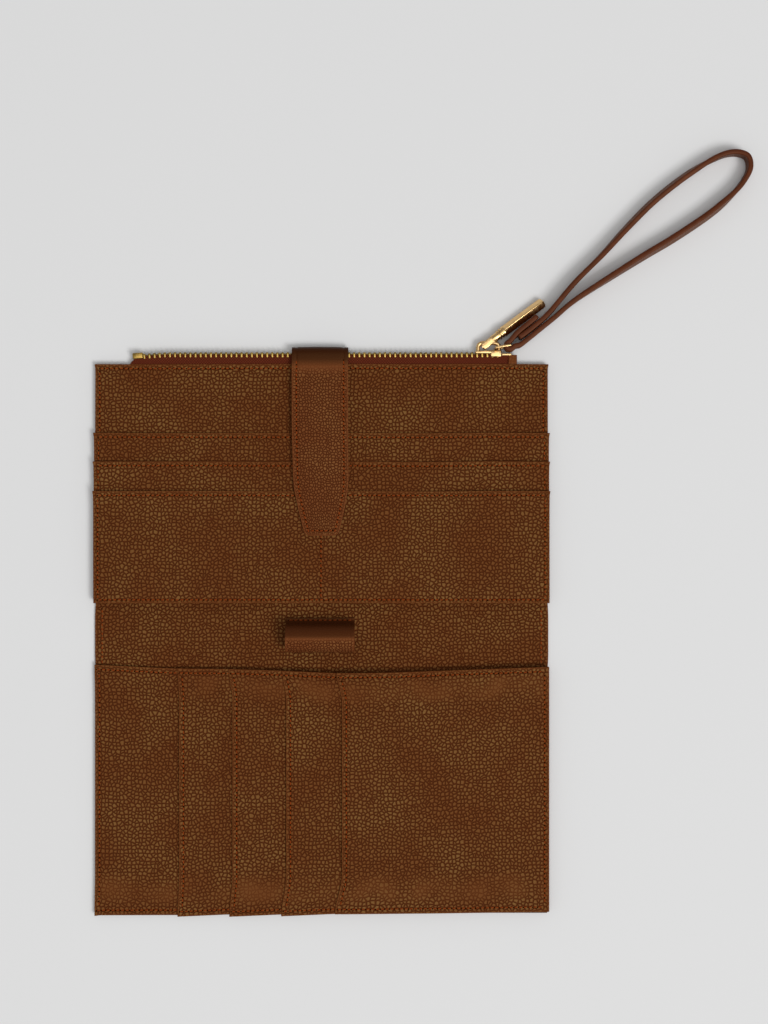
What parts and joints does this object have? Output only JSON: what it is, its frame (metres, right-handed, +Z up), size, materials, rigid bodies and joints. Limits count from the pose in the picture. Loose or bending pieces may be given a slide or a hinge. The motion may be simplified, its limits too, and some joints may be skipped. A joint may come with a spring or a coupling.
{
  "type": "travel document organizer",
  "caption": "Open folding leather travel wallet with card pockets, stepped passport pockets, a pen loop, a zipped edge with a bar puller, a magnetic strap and a wrist strap.",
  "frame": {"origin": "on the table under the middle of the card half, which is the fixed body", "axes": "+X along the folds towards the zip's closed end, +Y towards the zipped edge, +Z up out of the open wallet"},
  "size_m": [0.321, 0.3719, 0.0155],
  "materials": {
    "leather_grain": "pebble grain, semi-matt",
    "strap_leather": "smooth, semi-matt",
    "lining": "woven lining",
    "board": "plain board",
    "zip_tape": "woven tape",
    "antique_brass": "antique brass",
    "gold_metal": "pale gold plate, polished and brushed",
    "magnet_steel": "nickel plate"
  },
  "bodies": {
    "card_half": {"cover_upper": "leather_grain", "stiffener_upper": "board", "zip_pocket_lining_back": "lining", "zip_pocket_lining_front": "lining", "card_back_panel": "leather_grain", "card_pocket_1": "leather_grain", "card_pocket_2": "leather_grain", "card_pocket_3": "leather_grain", "zip_tape_back": "zip_tape", "zip_tape_front": "zip_tape", "zip_teeth_back": "antique_brass", "zip_teeth_front": "antique_brass", "zip_stop_left": "antique_brass", "zip_stop_right": "antique_brass", "zip_end_tab": "leather_grain", "closure_strap_root": "leather_grain"},
    "strap_riser": {"closure_strap_lining": "strap_leather", "closure_strap_outer": "leather_grain"},
    "strap_tongue": {"closure_tongue_lining": "strap_leather", "closure_tongue_outer": "leather_grain", "closure_magnet": "magnet_steel"},
    "spine": {"cover_spine": "leather_grain", "spine_lining": "leather_grain", "pen_loop": "leather_grain"},
    "passport_half": {"cover_lower": "leather_grain", "stiffener_lower": "board", "closure_plate": "magnet_steel", "passport_lining": "lining", "boarding_pass_pocket": "leather_grain", "passport_pocket_1": "leather_grain", "passport_pocket_2": "leather_grain", "passport_pocket_3": "leather_grain", "passport_pocket_4": "leather_grain"},
    "zip_slider": {"slider_body": "gold_metal", "slider_bridge": "gold_metal"},
    "zip_puller": {"puller_eye": "gold_metal", "puller_collar": "gold_metal", "puller_bar": "gold_metal"},
    "ring": {"wrist_ring": "gold_metal"},
    "wrist_strap": {"wrist_strap_outer": "strap_leather", "wrist_strap_lining": "strap_leather"}
  },
  "joints": [
    {"name": "fold_spine", "type": "hinge", "parent": "card_half", "child": "spine", "pos_m": [0, -0.06, 0.0012], "axis": [-1, 0, 0], "range_deg": [0, 90]},
    {"name": "fold_lower", "type": "hinge", "parent": "spine", "child": "passport_half", "pos_m": [0, -0.0893, 0.0012], "axis": [-1, 0, 0], "range_deg": [0, 90]},
    {"name": "strap_lift", "type": "hinge", "parent": "card_half", "child": "strap_riser", "pos_m": [-0.00065, 0.063, 0.0039], "axis": [-1, 0, 0], "range_deg": [0, 90]},
    {"name": "strap_bend", "type": "hinge", "parent": "strap_riser", "child": "strap_tongue", "pos_m": [-0.00065, 0.0346, 0.0062], "axis": [-1, 0, 0], "range_deg": [-90, 0]},
    {"name": "zip_slide", "type": "slide", "parent": "card_half", "child": "zip_slider", "axis": [1, 0, 0], "range_m": [-0.058, 0]},
    {"name": "pull_swing", "type": "hinge", "parent": "zip_slider", "child": "zip_puller", "pos_m": [0.0806, 0.0681, 0.0039], "axis": [0, 0, 1], "range_deg": [0, 70]},
    {"name": "ring_lift", "type": "hinge", "parent": "zip_slider", "child": "ring", "pos_m": [0.0868, 0.0663, 0.0039], "axis": [0.1599, -0.9871, 0], "range_deg": [0, 30]},
    {"name": "wrist_strap_swing", "type": "hinge", "parent": "ring", "child": "wrist_strap", "pos_m": [0.09188, 0.06712, 0.00585], "axis": [0, 0, 1], "range_deg": [-25, 0]}
  ],
  "couplings": [
    {"joint": "fold_lower", "follows": "fold_spine", "ratio": 1},
    {"joint": "strap_bend", "follows": "strap_lift", "ratio": -1}
  ]
}
